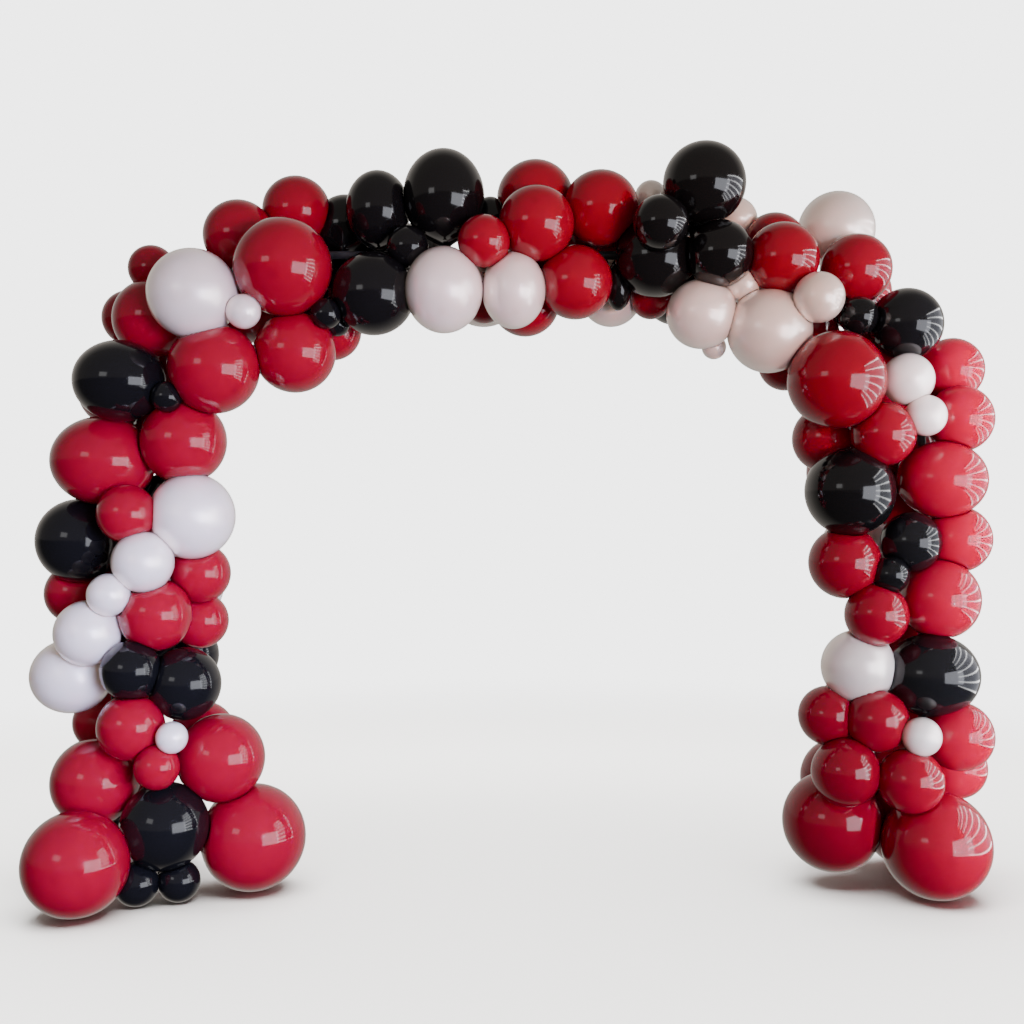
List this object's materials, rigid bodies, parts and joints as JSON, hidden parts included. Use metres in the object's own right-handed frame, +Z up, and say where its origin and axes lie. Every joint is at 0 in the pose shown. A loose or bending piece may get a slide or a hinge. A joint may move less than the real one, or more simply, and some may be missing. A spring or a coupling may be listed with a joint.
{
  "type": "balloon arch on a tube frame",
  "caption": "Free-standing arch of red, white and black latex balloons in mixed sizes, tied round a bent tube frame on flat base bars.",
  "frame": {"origin": "on the floor in the middle of the arch, in the plane of the tube frame", "axes": "+X to the right seen from the front, -Y out of the front, +Z up"},
  "size_m": [2.8361, 0.8609, 2.1727],
  "materials": {
    "red_latex": "glossy deep red latex",
    "white_latex": "pearly white latex",
    "black_latex": "glossy black latex",
    "frame_steel": "black powder coat"
  },
  "bodies": {
    "root": {"base_bar_left": "frame_steel", "base_bar_right": "frame_steel", "post_left": "frame_steel", "post_right": "frame_steel", "crown_tube": "frame_steel", "red_left_floor_outer": "red_latex", "red_left_floor_inner": "red_latex", "black_left_floor": "black_latex", "red_left_accent": "red_latex", "white_left_bead": "white_latex", "black_left_pair": "black_latex", "white_left_chain": "white_latex", "red_left_middle": "red_latex", "black_left_side": "black_latex", "red_left_upper": "red_latex", "black_left_shoulder": "black_latex", "white_left_shoulder": "white_latex", "red_left_shoulder": "red_latex", "red_left_shoulder_side": "red_latex", "red_left_crest": "red_latex", "black_crown_left": "black_latex", "black_crown_low": "black_latex", "white_crown": "white_latex", "red_crown": "red_latex", "red_crown_low": "red_latex", "black_crown_right": "black_latex", "red_crown_bead": "red_latex", "white_crown_bead": "white_latex", "white_crown_behind": "white_latex", "red_right_shoulder": "red_latex", "white_right_crest": "white_latex", "red_right_crest": "red_latex", "white_right_accent": "white_latex", "white_right_shoulder": "white_latex", "red_right_shoulder_low": "red_latex", "black_right_shoulder": "black_latex", "white_right_pair": "white_latex", "red_right_upper_outer": "red_latex", "black_right_middle": "black_latex", "black_right_low_pair": "black_latex", "red_right_outer": "red_latex", "red_right_inner": "red_latex", "white_right_side": "white_latex", "black_right_side": "black_latex", "red_right_low_inner": "red_latex", "red_right_low_outer": "red_latex", "white_right_bead": "white_latex", "red_right_floor": "red_latex", "red_behind_left_low": "red_latex", "black_behind_left": "black_latex", "white_behind_left": "white_latex", "red_behind_left": "red_latex", "black_behind_left_high": "black_latex", "red_behind_left_shoulder": "red_latex", "black_behind_crown": "black_latex", "white_behind_crown": "white_latex", "white_behind_crown_low": "white_latex", "red_behind_right_shoulder": "red_latex", "red_behind_right": "red_latex", "white_behind_right": "white_latex"}
  },
  "joints": []
}
